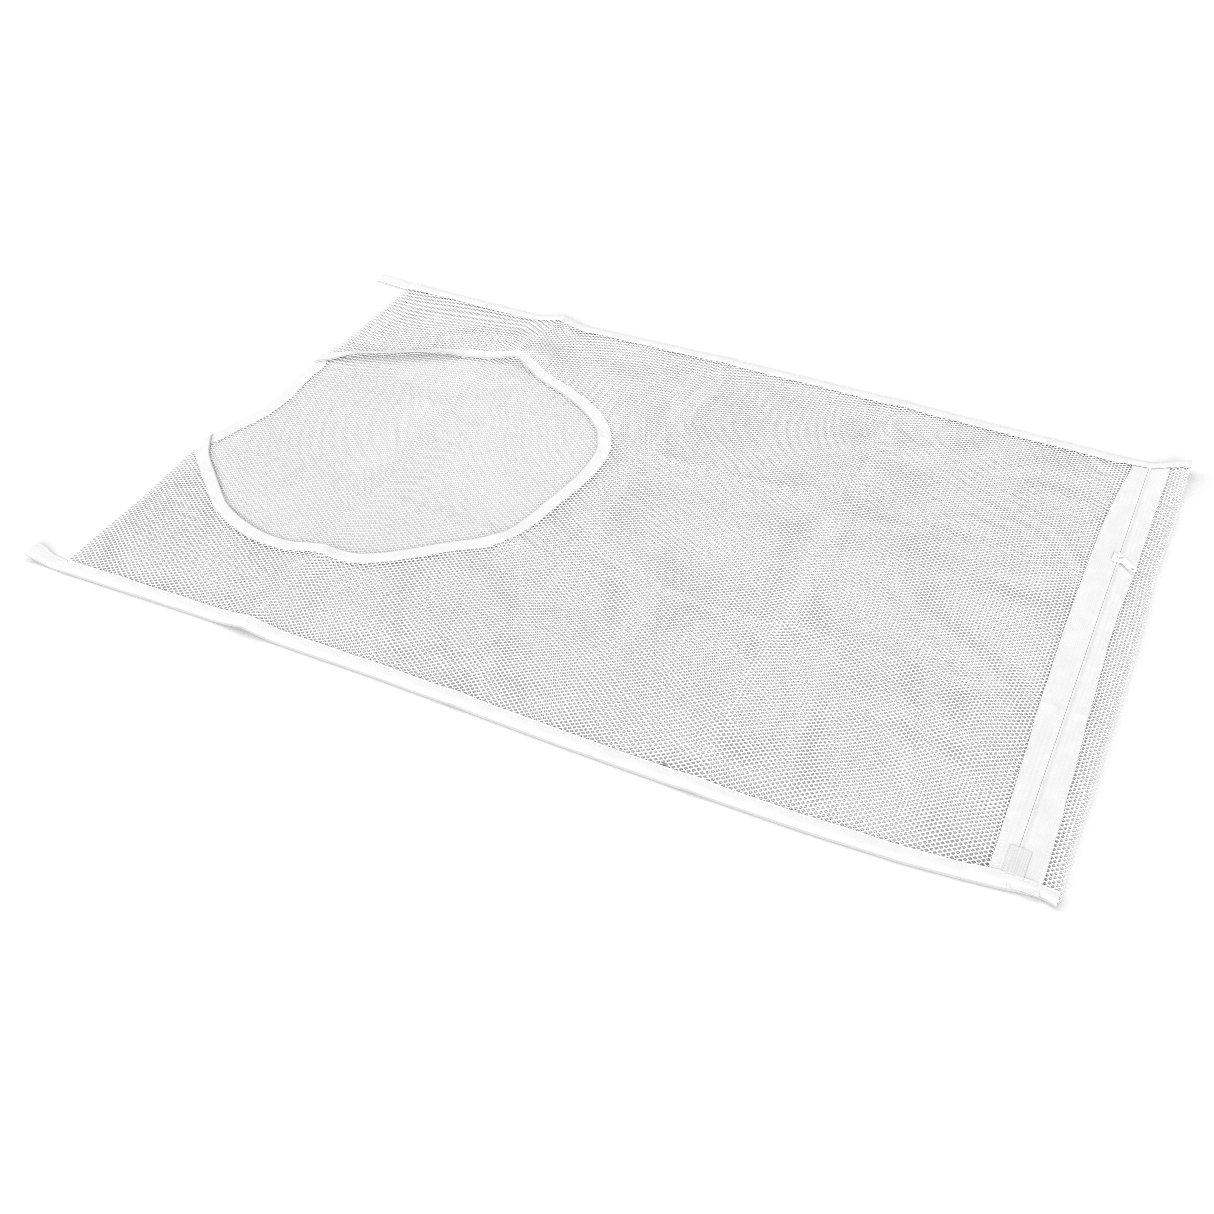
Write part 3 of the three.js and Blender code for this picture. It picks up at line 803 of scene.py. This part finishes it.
def side_binding(name, near, node_name, thread_name):
    x_tip = -38.0 if near else -36.0
    xs = np.arange(x_tip, LENGTH + 3.6, 0.775)
    edge = near_y(xs) if near else far_y(xs)
    sgn = 1.0 if near else -1.0
    rng_wave = waves(41 if near else 43, 6, 25, 90)
    path = np.stack([xs, edge], -1)
    u = arc_length(path)
    rows = []
    seam = []
    for i, x in enumerate(xs):
        k = float(smooth((x - fold_x(np.array([edge[i]]))[0] + 3.0) / 9.0))
        wide = 13.4 + (3.4 * float(smooth((-16 - x) / 16)) if near else 2.6 * float(smooth((60 - x) / 70)))
        if near and x > 740:   # turned up on its edge at the corner
            wide = min(wide, 18.6 - edge[i])
        wide += 0.18 * float(rng_wave(np.array([x]), np.array([0.0]))[0])
        over = float(smooth((x - 744) / 5) * smooth((790 - x) / 5))
        top = 1.55 + 1.93 * k + 0.92 * over
        top += 0.10 * float(rng_wave(np.array([x * 1.3]), np.array([50.0]))[0])
        sec = binding_section(wide, top, 0.5 + 0.15 * (1 - k), lambda v, c: c, u[i])
        # the tip's corners are rounded
        tip = x - x_tip
        v = sec[:, 0].copy()
        if tip < 3.0:
            cut = (3.0 - math.sqrt(max(0.0, 9.0 - (3.0 - tip) ** 2))) * 0.8
            v = cut * 0.6 + v * (wide - 1.6 * cut) / wide
        y = edge[i] + sgn * v
        z = G(np.full(len(v), x), y) + sec[:, 1]
        rows.append(np.stack([np.full(len(v), x), y, z], -1))
        seam.append((x, edge[i] + sgn * (wide - 1.8), 0.0, wide, top, u[i]))
    grid = np.array(rows)
    if not near:
        grid = grid[:, ::-1]
    sec0 = np.concatenate([[0], np.cumsum(np.linalg.norm(np.diff(np.concatenate([rows[60], rows[60][:1]]), axis=0), axis=1))])
    sec0 -= sec0[8]
    across = np.concatenate([sec0[:-1][::-1], [sec0[0] - (sec0[-1] - sec0[-2])]]) if near else sec0
    ob = sweep(name, grid[:, ::-1], False, binding_mat, u, across, 38)
    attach(ob, "net_bag")
    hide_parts(node_name)
    sx, sy, sz, nz = [], [], [], []
    for (x, y, _, wide, top, uu) in seam:
        if x < -34.5 or x > LENGTH - 2.5:
            continue
        crown = top - 0.20
        sx.append((x, y, float(G(np.array([x]), np.array([y]))[0]) + crown))
        nz.append((0, 0, 1.0))
    stitches(thread_name, sx, nz, thread_mat, [thread_name])
    return ob


side_binding("near_binding", True, "near_side_binding", "near_binding_thread")
side_binding("far_binding", False, "far_side_binding", "far_binding_thread")

# tape round the opening -----------------------------------------------------------------------------------------
# the path in the net's own unrolled plan: sigma is the distance from the left fold, negative on the back layer
loop = [(x - float(fold_x(y)), y) for x, y in OPENING] + [(-(x - float(fold_x(y))), y) for x, y in BACK_ARC]
ring_path, ring_length = catmull(loop, True, 0.775)
ring_u = np.arange(len(ring_path) + 1) * (ring_length / len(ring_path))
tangent = np.roll(ring_path, -2, 0) - np.roll(ring_path, 2, 0)
for _ in range(6):   # the tape can't turn as sharply as its centre line
    tangent = (np.roll(tangent, 1, 0) + tangent + np.roll(tangent, -1, 0)) / 3
tangent /= np.linalg.norm(tangent, axis=1)[:, None]
outward = np.stack([tangent[:, 1], -tangent[:, 0]], -1)


def ring_surface(sg, y, h):
    """A point h above the net's outer face, in the unrolled plan."""
    r = 1.9
    ph = np.clip(sg / r, -1, 1) * np.pi / 2
    d = np.abs(sg)
    x = fold_x(y) + np.where(d < r, r * (1 - np.cos(ph)) * 0.6, d - r * 0.4)
    zb = G(x, y) + 0.92
    zf = G(x, y) + 2.62
    w = 0.5 + 0.5 * np.sin(ph)
    z = zb + (zf - zb) * w
    nx = -np.cos(ph)
    nz = np.sin(ph)
    return np.stack([x + nx * h, y, z + nz * h], -1)


def ring_section(u):
    """v across the tape from the free folded edge (-6.25) to the net's side (6.25), h above the net's middle."""
    t = []
    top = 0.86
    for v in (-6.25, -6.18, -5.9, -5.3, -4.2, -2.6, -0.8, 1.0, 2.6, 3.6, 4.05, 4.45, 4.85, 5.3, 5.9, 6.2):
        if v <= -6.2:
            h = 0.22
        elif v < -5.8:
            h = 0.5 if v < -6.0 else 0.7
        else:
            h = top - 0.04 * math.sin(v * 1.7)
        h -= float(pucker(u, v - 4.45))
        t.append((v, h))
    t.append((6.27, top - 0.2))
    t.append((6.22, 0.42))
    for v, h in ((3.0, 0.41), (0.0, 0.41), (-3.0, 0.41), (-5.0, 0.36), (-5.35, 0.0), (-5.0, -0.36), (-3.0, -0.41), (0.0, -0.41), (3.0, -0.41)):
        t.append((v, h))
    t.append((6.22, -0.42))
    t.append((6.27, -0.62))
    for v, h in ((6.1, -0.82), (3.0, -0.84), (0.0, -0.84), (-3.0, -0.84), (-5.2, -0.82), (-5.95, -0.66), (-6.22, -0.3)):
        t.append((v, h))
    return np.array(t)


ring_wave = waves(61, 7, 30, 120)
rows = []
seam_points, seam_normals = [], []
for i in range(len(ring_path)):
    c, o = ring_path[i], outward[i]
    sec = ring_section(ring_u[i])
    # the free edge stands up along the far left stretch, and the tape narrows at its two kinks
    xx = c[0] + float(fold_x(c[1]))
    stand = float(smooth((128 - xx) / 34) * smooth((xx - 8) / 26)) if (c[1] > 375 and c[0] > 0) else 0.0
    kink = math.exp(-(((xx - 176) / 7.0) ** 2)) if c[0] > 0 else 0.0
    v = sec[:, 0] * (1 + 0.02 * float(ring_wave(np.array([ring_u[i]]), np.array([0.0]))[0]) - 0.05 * kink)
    lift = stand * 5.4 * np.clip((6.25 - v) / 12.5, 0, 1) ** 1.15
    v = v + stand * 1.0 * np.clip((6.25 - v) / 12.5, 0, 1)
    wav = 0.28 * float(ring_wave(np.array([ring_u[i] * 0.8]), np.array([70.0]))[0]) if c[0] > 12 else 0.0
    sg = c[0] + o[0] * v
    yy = c[1] + o[1] * v
    p = ring_surface(sg, yy, sec[:, 1])
    p[:, 2] += lift + max(0.0, wav) * np.clip((6.25 - v) / 12.5, 0, 1)
    rows.append(p)
    seam_points.append(p[11])
    q = ring_surface(sg[11:12], yy[11:12], np.array([1.0]))[0] - ring_surface(sg[11:12], yy[11:12], np.array([0.0]))[0]
    seam_normals.append(q / np.linalg.norm(q))
grid = np.array(rows)
sec_u = np.concatenate([[0], np.cumsum(np.linalg.norm(np.diff(np.concatenate([rows[200], rows[200][:1]]), axis=0), axis=1))])
ring_ob = sweep("opening_tape", grid, True, binding_mat, ring_u, sec_u, 40)
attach(ring_ob, "net_bag")
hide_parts("opening_binding")
stitches("opening_binding_thread", seam_points, seam_normals, thread_mat, ["opening_binding_thread"], closed=True)

# zipper tapes ---------------------------------------------------------------------------------------------------
TAPE_TOP, TAPE_LOW = 3.45, 2.98


def zip_tape(name, left, node_name, thread_node, thread_name):
    ys = np.arange(8.2, 541.9, 0.9)
    rows, seam = [], []
    wob = waves(71 if left else 73, 5, 40, 160)
    for y in ys:
        apart = 0.05
        inner = ZIP_X - apart if left else ZIP_X + apart
        outer = float(tape_left(y)) if left else float(tape_right(y))
        outer += 0.25 * float(wob(np.array([y]), np.array([0.0]))[0])
        w = abs(inner - outer)
        dirn = 1 if left else -1
        vs = np.concatenate([[0.0, 0.12, 0.5, 1.1, 1.7, 2.1, 2.5, 2.9, 3.3, 4.2], np.linspace(5.2, w - 5.6, 9),
                             w - np.array([4.8, 4.1, 3.5, 3.0, 2.6, 2.3, 2.0, 1.7, 1.4, 1.1, 0.8, 0.5, 0.22, 0.08, 0.0])])
        fold = float(tent(np.array([y - 190.0]), 9, 1.2)[0])
        z = np.full(len(vs), TAPE_TOP)
        q = np.clip((w - vs) / 2.3, 0, 1)
        lip = 0.54 * np.sin(np.pi * (0.16 + 0.84 * q)) ** 0.8 - 0.34 * np.exp(-((w - vs - 3.3) / 1.05) ** 2)
        ridge = 0.13 * np.cos(2 * np.pi * (w - vs - 2.9) / 3.3) * smooth((w - vs - 2.9) / 1.0) * smooth((vs - 3.4) / 1.5)
        groove = np.array([float(pucker(y, v - 2.5)) for v in vs])
        soft = 0.12 * wob(np.full(len(vs), y), vs * 3.0) * smooth((w - vs - 3) / 4)
        z = z + lip + ridge - groove + soft
        z += fold * (0.75 * smooth((w - vs - 4.5) / 4.0) + 0.04)
        z[0] = TAPE_LOW + 0.2
        z[-1] = TAPE_TOP - 0.05
        under = np.array([w - 0.2, w * 0.66, w * 0.33, 0.3])
        zu = np.full(4, TAPE_LOW) + fold * 0.6 * smooth((w - under - 4.5) / 4.0)
        vv = np.concatenate([vs, under])
        zz = np.concatenate([z, zu])
        xx = outer + dirn * vv
        zz = zz + G(xx, np.full(len(xx), y))
        rows.append(np.stack([xx, np.full(len(xx), y), zz], -1))
        seam.append(rows[-1][6])
    grid = np.array(rows)
    u = ys - ys[0]
    sec0 = np.concatenate([[0], np.cumsum(np.linalg.norm(np.diff(np.concatenate([rows[10], rows[10][:1]]), axis=0), axis=1))])
    ob = sweep(name, grid if left else grid[:, ::-1], False, zip_tape_mat, u, sec0, 50)
    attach(ob, "net_bag")
    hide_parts(node_name)
    seam = np.array(seam)[8:-8]
    stitches(thread_name, seam, np.tile([[0, 0, 1.0]], (len(seam), 1)), thread_mat, [thread_node], radius=0.21)
    return ob


zip_tape("zip_tape_left", True, "zipper_tape_inner", "zipper_inner_tape_thread", "zip_tape_left_thread")
zip_tape("zip_tape_right", False, "zipper_tape_outer", "zipper_outer_tape_thread", "zip_tape_right_thread")


# coils: a nylon monofilament wound into flattened turns -----------------------------------------------------------
def coil(name, left, node_name):
    pitch_c, wire = 1.27, 0.2
    y0, y1 = chain_low.y * 1000 + OY, chain_high.y * 1000 + OY
    turns = (y1 - y0 - 1.0) / pitch_c
    per = 12
    n = int(turns * per)
    ph = np.arange(n) / per * 2 * np.pi + (0 if left else np.pi)
    sgn = -1 if left else 1
    cx = ZIP_X + sgn * 1.90
    x = cx - sgn * 1.12 * np.cos(ph)
    z = 2.76 + 0.36 * np.sin(ph)
    y = y0 + 0.5 + (np.arange(n) / per) * pitch_c
    p = np.stack([x, y, z], -1)
    z += G(x, y)
    p[:, 2] = z
    tg = np.gradient(p, axis=0)
    tg /= np.linalg.norm(tg, axis=1)[:, None]
    ref = np.array([0, 1.0, 0])
    a = np.cross(tg, ref)
    a /= np.linalg.norm(a, axis=1)[:, None]
    b = np.cross(tg, a)
    ang = np.linspace(0, 2 * np.pi, 6, endpoint=False)
    g = p[:, None, :] + wire * (np.cos(ang)[None, :, None] * a[:, None, :] + np.sin(ang)[None, :, None] * b[:, None, :])
    idx = np.arange(n * 6).reshape(n, 6)
    q0, q1 = idx[:-1], idx[1:]
    quads = np.stack([q0, np.roll(q0, -1, 1), np.roll(q1, -1, 1), q1], -1).reshape(-1, 4)
    ob = mesh_object(name, g.reshape(-1, 3), [quads, idx[0][None, ::-1], idx[-1][None, :]], [], None, coil_mat)
    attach(ob, "net_bag")
    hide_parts(node_name)
    return ob


coil("zip_coil_left", True, "zipper_coil_inner")
coil("zip_coil_right", False, "zipper_coil_outer")

# patch over the closed end of the chain ---------------------------------------------------------------------------
p_low, p_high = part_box("zip_end_patch")
px0, px1 = p_low.x * 1000 + OX, p_high.x * 1000 + OX
py0, py1 = p_low.y * 1000 + OY, p_high.y * 1000 + OY
nx_, ny_ = 60, 150
uu, vv = np.meshgrid(np.linspace(0, 1, nx_), np.linspace(0, 1, ny_), indexing="ij")
X = px0 + (px1 - px0) * uu + 0.12 * np.sin(vv * 9)
Y = py0 + (py1 - py0) * vv + 0.15 * np.sin(uu * 5)
rib = 0.085 * np.cos(2 * np.pi * (Y - py0) / 0.95)
drape = 0.42 * smooth((3.8 - np.abs(X - ZIP_X)) / 2.2)
edge_r = np.minimum.reduce([X - px0, px1 - X, Y - py0, py1 - Y])
top = 4.28 + drape + rib * smooth((edge_r - 0.3) / 0.8) - 0.3 * np.exp(-np.clip(edge_r, 0, None) / 0.3)
seam_gap = np.minimum.reduce([np.abs(X - px0 - 1.3), np.abs(px1 - 1.3 - X), np.abs(Y - py0 - 1.3)])
top = top - 0.16 * np.exp(-(seam_gap / 0.6) ** 2)
near_lip = 0.5 * smooth((py0 + 1.4 - Y) / 1.4) * (0.7 + 0.3 * np.sin(X * 1.1))
top = top + near_lip
low_z = 3.72 + drape * 0.9 + near_lip
Zt = top + G(X, Y)
Zl = np.minimum(low_z + G(X, Y), Zt - 0.22)
n = nx_ * ny_
co = np.concatenate([np.stack([X, Y, Zt], -1).reshape(-1, 3), np.stack([X, Y, Zl], -1).reshape(-1, 3)])
idx = np.arange(n).reshape(nx_, ny_)
tq = np.stack([idx[:-1, :-1], idx[1:, :-1], idx[1:, 1:], idx[:-1, 1:]], -1).reshape(-1, 4)
bq = tq[:, ::-1] + n
ring_i = np.concatenate([idx[:-1, 0], idx[-1, :-1], idx[1:, -1][::-1], idx[0, 1:][::-1]])
ring_j = np.roll(ring_i, -1)
wq = np.stack([ring_j, ring_i, ring_i + n, ring_j + n], -1)
cloth = np.concatenate([np.stack([X - px0, Y - py0], -1).reshape(-1, 2)] * 2)
patch = mesh_object("zip_patch", co, [tq, bq, wq], [("cloth", cloth)], 50, patch_mat)
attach(patch, "net_bag")
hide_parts("zip_end_patch")
def patch_top(x, y):
    i = np.clip((x - px0) / (px1 - px0) * (nx_ - 1), 0, nx_ - 1).round().astype(int)
    j = np.clip((y - py0) / (py1 - py0) * (ny_ - 1), 0, ny_ - 1).round().astype(int)
    return Zt[i, j]
side = 1.3
path = [(px0 + side, py1 - 1.0), (px0 + side, py0 + side), (px1 - side, py0 + side), (px1 - side, py1 - 1.0)]
pp = []
for (xa, ya), (xb, yb) in zip(path[:-1], path[1:]):
    for s in np.linspace(0, 1, 30, endpoint=False):
        pp.append((xa + (xb - xa) * s, ya + (yb - ya) * s))
pp = np.array(pp)
pts = np.column_stack([pp, patch_top(pp[:, 0], pp[:, 1])])
stitches("patch_thread", pts, np.tile([[0, 0, 1.0]], (len(pts), 1)), thread_mat, ["end_patch_thread"], length=1.9, pitch=2.4, radius=0.2)


# slider and pull tab: cast pieces with rounded edges, on the CAD shapes --------------------------------------------
def rounded(name, node_name, body, width, segments=3):
    src = frame["nodes"][node_name]
    me = src.data.copy()
    me.name = name
    me.materials.clear()
    me.materials.append(metal_mat)
    ob = bpy.data.objects.new(name, me)
    scene.collection.objects.link(ob)
    import bmesh
    bm = bmesh.new()
    bm.from_mesh(me)
    bmesh.ops.remove_doubles(bm, verts=bm.verts, dist=1e-6)
    bmesh.ops.dissolve_limit(bm, angle_limit=math.radians(2), verts=bm.verts, edges=bm.edges)
    sharp = [e for e in bm.edges if len(e.link_faces) == 2 and e.calc_face_angle(0) > math.radians(32)]
    bmesh.ops.bevel(bm, geom=sharp, offset=width, segments=segments, profile=0.5, affect="EDGES", clamp_overlap=True)
    bmesh.ops.triangulate(bm, faces=[f for f in bm.faces if len(f.verts) > 4])
    bmesh.ops.recalc_face_normals(bm, faces=bm.faces)
    bm.to_mesh(me)
    bm.free()
    me.polygons.foreach_set("use_smooth", np.ones(len(me.polygons), bool))
    me.set_sharp_from_angle(angle=math.radians(38))
    me.update()
    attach(ob, body)
    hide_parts(node_name)
    return ob


rounded("zip_slider", "slider_body", "slider", 0.00022)
rounded("zip_pull", "slider_pull_tab", "pull_tab", 0.00024)

# -------------------------------------------------------------------------------------------------- floor and light
floor_mat, nt, bsdf = new_material("studio_floor")
coord = node(nt, "ShaderNodeTexCoord")
noise = node(nt, "ShaderNodeTexNoise", in_Scale=2.0, in_Detail=2.0)
nt.links.new(coord.outputs["Object"], noise.inputs["Vector"])
cr = ramp_node(nt, [(0.3, grey(0.755)), (0.7, grey(0.765))])
nt.links.new(noise.outputs["Fac"], cr.inputs["Fac"])
nt.links.new(cr.outputs["Color"], bsdf.inputs["Base Color"])
bsdf.inputs["Roughness"].default_value = 0.9
bsdf.inputs["Specular IOR Level"].default_value = 0.1
r = 9.0
me = bpy.data.meshes.new("floor")
me.from_pydata([(-r, -r, -0.0001), (r, -r, -0.0001), (r, r, -0.0001), (-r, r, -0.0001)], [], [(0, 1, 2, 3)])
me.materials.append(floor_mat)
floor = bpy.data.objects.new("floor", me)
scene.collection.objects.link(floor)

w = bpy.data.worlds.new("studio")
scene.world = w
w.use_nodes = True
w.node_tree.nodes["Background"].inputs["Color"].default_value = (1, 1, 1, 1)
w.node_tree.nodes["Background"].inputs["Strength"].default_value = 0.68


def soft_light(name, toward, strength):
    """A large, distant soft source: the same light wherever the bag is seen from."""
    from mathutils import Vector
    d = bpy.data.lights.new(name, "SUN")
    d.energy = strength
    d.angle = math.radians(32)
    o = bpy.data.objects.new(name, d)
    scene.collection.objects.link(o)
    o.location = toward
    o.rotation_euler = Vector(toward).to_track_quat("Z", "Y").to_euler()
    return o


soft_light("key", (-1.6, 1.9, 2.9), 0.87)
soft_light("front", (1.5, -3.4, 1.7), 2.5)
soft_light("side", (-3.2, 0.2, 1.6), 1.05)

scene.view_settings.view_transform = "Standard"
scene.view_settings.look = "None"
scene.cycles.filter_width = 0.8
scene.cycles.use_denoising = False

bpy.context.view_layer.update()
